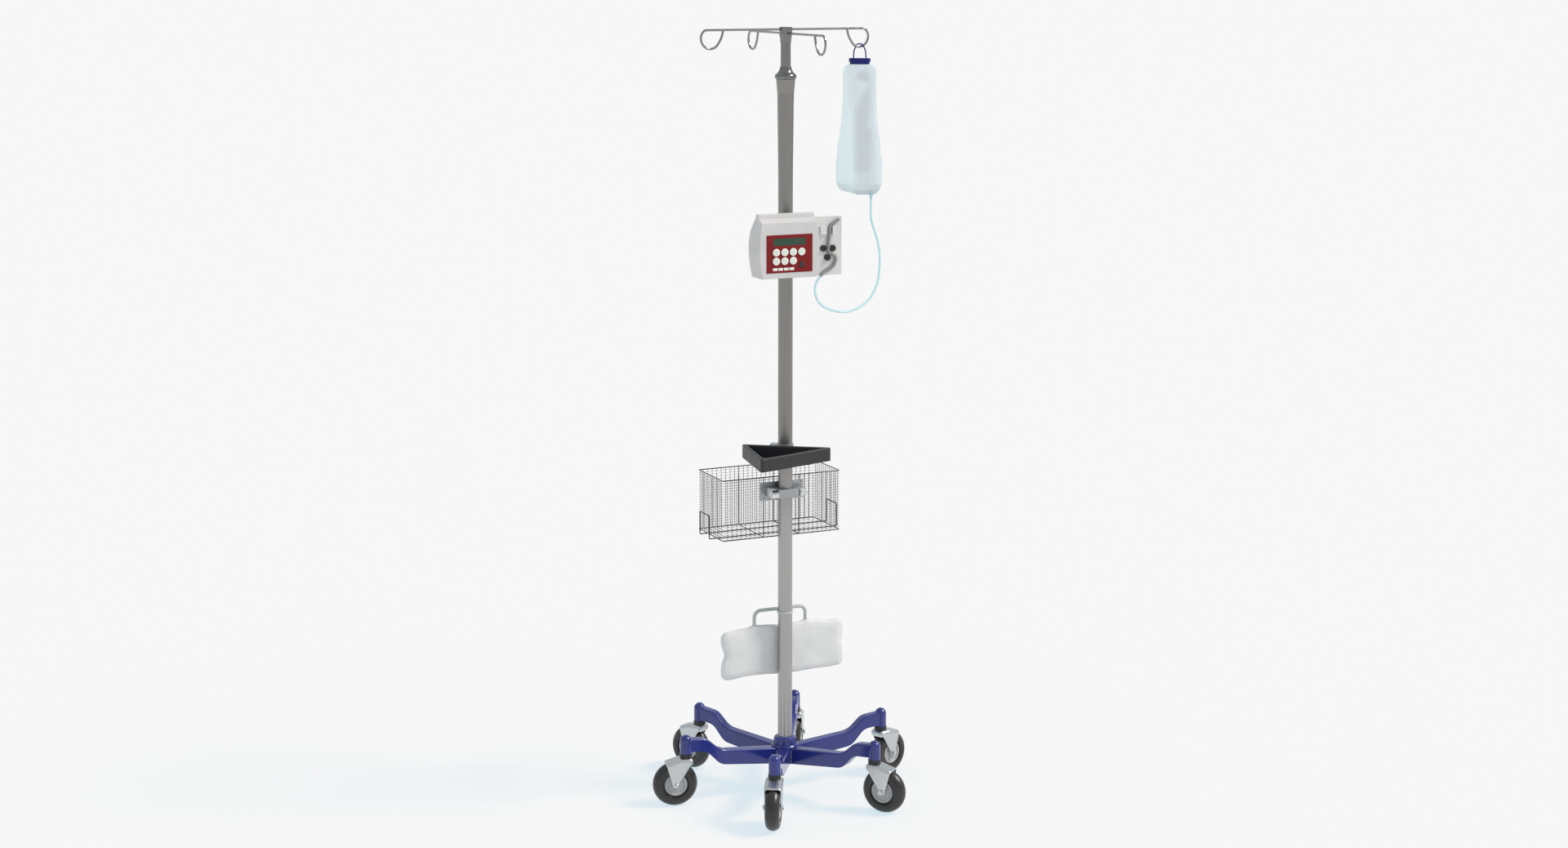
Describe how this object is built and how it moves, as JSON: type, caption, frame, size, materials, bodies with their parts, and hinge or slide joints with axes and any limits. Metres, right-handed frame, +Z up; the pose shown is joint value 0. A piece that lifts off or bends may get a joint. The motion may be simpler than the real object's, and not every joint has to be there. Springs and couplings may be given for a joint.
{
  "type": "iv pole with infusion pump",
  "caption": "Rolling drip stand on a spoked caster base, telescopic pole with hook rods, clamped infusion pump, tray, wire basket, drainage bag and hanging fluid bag.",
  "frame": {"origin": "the pole's axis where it meets the floor", "axes": "+Z up along the pole, -Y is the side the pump's keypad faces, +X is to the right of someone facing the keypad"},
  "size_m": [0.6286, 0.5533, 1.706],
  "materials": {
    "casting_blue": "glossy powder coat over cast metal",
    "bearing_black": "satin moulded plastic",
    "fork_zinc": "bright zinc plate",
    "wheel_grey": "satin moulded plastic",
    "tyre_black": "smooth, slightly polished rubber",
    "pole_steel": "fine lengthwise brushing",
    "sleeve_grey": "satin moulded plastic",
    "collet_white": "satin moulded plastic",
    "nut_grey": "satin, rounded grip",
    "mast_chrome": "polished",
    "head_steel": "turned",
    "hook_steel": "polished bent rod",
    "shell_white": "fine grained moulding",
    "panel_red": "smooth film keypad",
    "display_green": "dark glossy window",
    "lamp_white": "diffusing lens",
    "key_white": "soft-touch cap with a pale green centre",
    "key_dark": "soft-touch cap",
    "board_green": "lacquered circuit board",
    "tube_grey": "translucent silicone",
    "guide_grey": "fine grained moulding",
    "roller_black": "turned plastic",
    "clamp_grey": "bead-blasted casting",
    "knob_black": "moulded grip",
    "tray_black": "fine grained moulding",
    "bracket_grey": "bead-blasted casting",
    "wire_black": "powder-coated wire",
    "yoke_steel": "brushed plate",
    "screw_chrome": "polished",
    "hanger_white": "smooth coated rod",
    "bag_fabric": "soft woven pouch",
    "drip_bag_clear": "clear flexible film, full of fluid",
    "cap_blue": "moulded cap and bail",
    "line_clear": "clear flexible tubing"
  },
  "bodies": {
    "stand": {"base_casting": "casting_blue", "caster_bearings": "bearing_black", "outer_tube": "pole_steel", "top_sleeve": "sleeve_grey", "collet": "collet_white", "pump_front_shell": "shell_white", "pump_rear_shell": "shell_white", "keypad_panel": "panel_red", "display_window": "display_green", "indicator_lamps": "lamp_white", "pump_circuit_board": "board_green", "pump_tube": "tube_grey", "tube_guide_plate": "guide_grey", "pump_clamp": "clamp_grey", "iv_line": "line_clear"},
    "mast": {"mast_tube": "mast_chrome", "hook_head": "head_steel", "hook_rods": "hook_steel", "iv_bag": "drip_bag_clear", "bag_cap": "cap_blue"},
    "nut": {"lock_nut": "nut_grey"},
    "tray_set": {"tray": "tray_black", "tray_clamp": "bracket_grey"},
    "tray_knob": {"tray_clamp_knob": "knob_black"},
    "pump_knob": {"pump_clamp_knob": "knob_black"},
    "basket_set": {"wire_basket": "wire_black", "basket_cradle": "wire_black", "basket_clamp": "yoke_steel", "basket_screws": "screw_chrome"},
    "drain_set": {"bag_hanger": "hanger_white", "drainage_bag": "bag_fabric"},
    "fork_1": {"caster_fork_1": "fork_zinc"},
    "wheel_1": {"caster_hub_1": "wheel_grey", "caster_tyre_1": "tyre_black"},
    "fork_2": {"caster_fork_2": "fork_zinc"},
    "wheel_2": {"caster_hub_2": "wheel_grey", "caster_tyre_2": "tyre_black"},
    "fork_3": {"caster_fork_3": "fork_zinc"},
    "wheel_3": {"caster_hub_3": "wheel_grey", "caster_tyre_3": "tyre_black"},
    "fork_4": {"caster_fork_4": "fork_zinc"},
    "wheel_4": {"caster_hub_4": "wheel_grey", "caster_tyre_4": "tyre_black"},
    "fork_5": {"caster_fork_5": "fork_zinc"},
    "wheel_5": {"caster_hub_5": "wheel_grey", "caster_tyre_5": "tyre_black"},
    "fork_6": {"caster_fork_6": "fork_zinc"},
    "wheel_6": {"caster_hub_6": "wheel_grey", "caster_tyre_6": "tyre_black"},
    "key_1_cap": {"key_1": "key_white"},
    "key_2_cap": {"key_2": "key_white"},
    "key_3_cap": {"key_3": "key_white"},
    "key_4_cap": {"key_4": "key_white"},
    "key_5_cap": {"key_5": "key_white"},
    "key_6_cap": {"key_6": "key_white"},
    "key_7_cap": {"key_7": "key_white"},
    "power_key_cap": {"power_key": "key_dark"},
    "roller_1_body": {"roller_1": "roller_black"},
    "roller_2_body": {"roller_2": "roller_black"},
    "roller_3_body": {"roller_3": "roller_black"}
  },
  "joints": [
    {"name": "mast_lift", "type": "slide", "parent": "stand", "child": "mast", "axis": [0, 0, 1], "range_m": [0, 0.2]},
    {"name": "lock_nut_turn", "type": "hinge", "parent": "stand", "child": "nut", "pos_m": [0, 0, 1.6], "axis": [0, 0, 1], "range_deg": [0, 180]},
    {"name": "pump_clamp_knob_turn", "type": "hinge", "parent": "stand", "child": "pump_knob", "pos_m": [0.042, 0, 1.24], "axis": [1, 0, 0], "continuous": true},
    {"name": "tray_height", "type": "slide", "parent": "stand", "child": "tray_set", "axis": [0, 0, 1], "range_m": [0, 0.25]},
    {"name": "tray_clamp_knob_turn", "type": "hinge", "parent": "tray_set", "child": "tray_knob", "pos_m": [-0.02003, 0.01411, 0.782], "axis": [0.576, 0.8174, 0], "continuous": true},
    {"name": "basket_height", "type": "slide", "parent": "stand", "child": "basket_set", "axis": [0, 0, 1], "range_m": [-0.1, 0.03]},
    {"name": "drain_bag_height", "type": "slide", "parent": "stand", "child": "drain_set", "axis": [0, 0, 1], "range_m": [-0.06, 0.04]},
    {"name": "caster_1_swivel", "type": "hinge", "parent": "stand", "child": "fork_1", "pos_m": [-0.1209, -0.20941, 0.1088], "axis": [0, 0, 1], "continuous": true},
    {"name": "caster_1_spin", "type": "hinge", "parent": "fork_1", "child": "wheel_1", "pos_m": [-0.13332, -0.2311, 0.05], "axis": [0.8678, -0.497, 0], "continuous": true},
    {"name": "caster_2_swivel", "type": "hinge", "parent": "stand", "child": "fork_2", "pos_m": [0.1209, -0.20941, 0.1088], "axis": [0, 0, 1], "continuous": true},
    {"name": "caster_2_spin", "type": "hinge", "parent": "fork_2", "child": "wheel_2", "pos_m": [0.13619, -0.22919, 0.05], "axis": [0.7912, 0.6115, 0], "continuous": true},
    {"name": "caster_3_swivel", "type": "hinge", "parent": "stand", "child": "fork_3", "pos_m": [0.2418, 0, 0.1088], "axis": [0, 0, 1], "continuous": true},
    {"name": "caster_3_spin", "type": "hinge", "parent": "fork_3", "child": "wheel_3", "pos_m": [0.26522, 0.00876, 0.05], "axis": [-0.3502, 0.9367, 0], "continuous": true},
    {"name": "caster_4_swivel", "type": "hinge", "parent": "stand", "child": "fork_4", "pos_m": [0.1209, 0.20941, 0.1088], "axis": [0, 0, 1], "continuous": true},
    {"name": "caster_4_spin", "type": "hinge", "parent": "fork_4", "child": "wheel_4", "pos_m": [0.1334, 0.23106, 0.05], "axis": [-0.866, 0.5, 0], "continuous": true},
    {"name": "caster_5_swivel", "type": "hinge", "parent": "stand", "child": "fork_5", "pos_m": [-0.1209, 0.20941, 0.1088], "axis": [0, 0, 1], "continuous": true},
    {"name": "caster_5_spin", "type": "hinge", "parent": "fork_5", "child": "wheel_5", "pos_m": [-0.1334, 0.23106, 0.05], "axis": [-0.866, -0.5, 0], "continuous": true},
    {"name": "caster_6_swivel", "type": "hinge", "parent": "stand", "child": "fork_6", "pos_m": [-0.2418, 0, 0.1088], "axis": [0, 0, 1], "continuous": true},
    {"name": "caster_6_spin", "type": "hinge", "parent": "fork_6", "child": "wheel_6", "pos_m": [-0.26623, 0.00528, 0.05], "axis": [-0.2113, -0.9774, 0], "continuous": true},
    {"name": "key_1_press", "type": "slide", "parent": "stand", "child": "key_1_cap", "axis": [0, 1, 0], "range_m": [0, 0.001], "stiffness_N_per_m": 700, "springref_m": -0.001},
    {"name": "key_2_press", "type": "slide", "parent": "stand", "child": "key_2_cap", "axis": [0, 1, 0], "range_m": [0, 0.001], "stiffness_N_per_m": 700, "springref_m": -0.001},
    {"name": "key_3_press", "type": "slide", "parent": "stand", "child": "key_3_cap", "axis": [0, 1, 0], "range_m": [0, 0.001], "stiffness_N_per_m": 700, "springref_m": -0.001},
    {"name": "key_4_press", "type": "slide", "parent": "stand", "child": "key_4_cap", "axis": [0, 1, 0], "range_m": [0, 0.001], "stiffness_N_per_m": 700, "springref_m": -0.001},
    {"name": "key_5_press", "type": "slide", "parent": "stand", "child": "key_5_cap", "axis": [0, 1, 0], "range_m": [0, 0.001], "stiffness_N_per_m": 700, "springref_m": -0.001},
    {"name": "key_6_press", "type": "slide", "parent": "stand", "child": "key_6_cap", "axis": [0, 1, 0], "range_m": [0, 0.001], "stiffness_N_per_m": 700, "springref_m": -0.001},
    {"name": "key_7_press", "type": "slide", "parent": "stand", "child": "key_7_cap", "axis": [0, 1, 0], "range_m": [0, 0.001], "stiffness_N_per_m": 700, "springref_m": -0.001},
    {"name": "power_key_press", "type": "slide", "parent": "stand", "child": "power_key_cap", "axis": [0, 1, 0], "range_m": [0, 0.001], "stiffness_N_per_m": 700, "springref_m": -0.001},
    {"name": "roller_1_turn", "type": "hinge", "parent": "stand", "child": "roller_1_body", "pos_m": [0.0566, -0.0738, 1.2358], "axis": [0, 1, 0], "continuous": true},
    {"name": "roller_2_turn", "type": "hinge", "parent": "stand", "child": "roller_2_body", "pos_m": [0.0788, -0.0738, 1.2352], "axis": [0, 1, 0], "continuous": true},
    {"name": "roller_3_turn", "type": "hinge", "parent": "stand", "child": "roller_3_body", "pos_m": [0.0662, -0.0738, 1.2156], "axis": [0, 1, 0], "continuous": true}
  ]
}
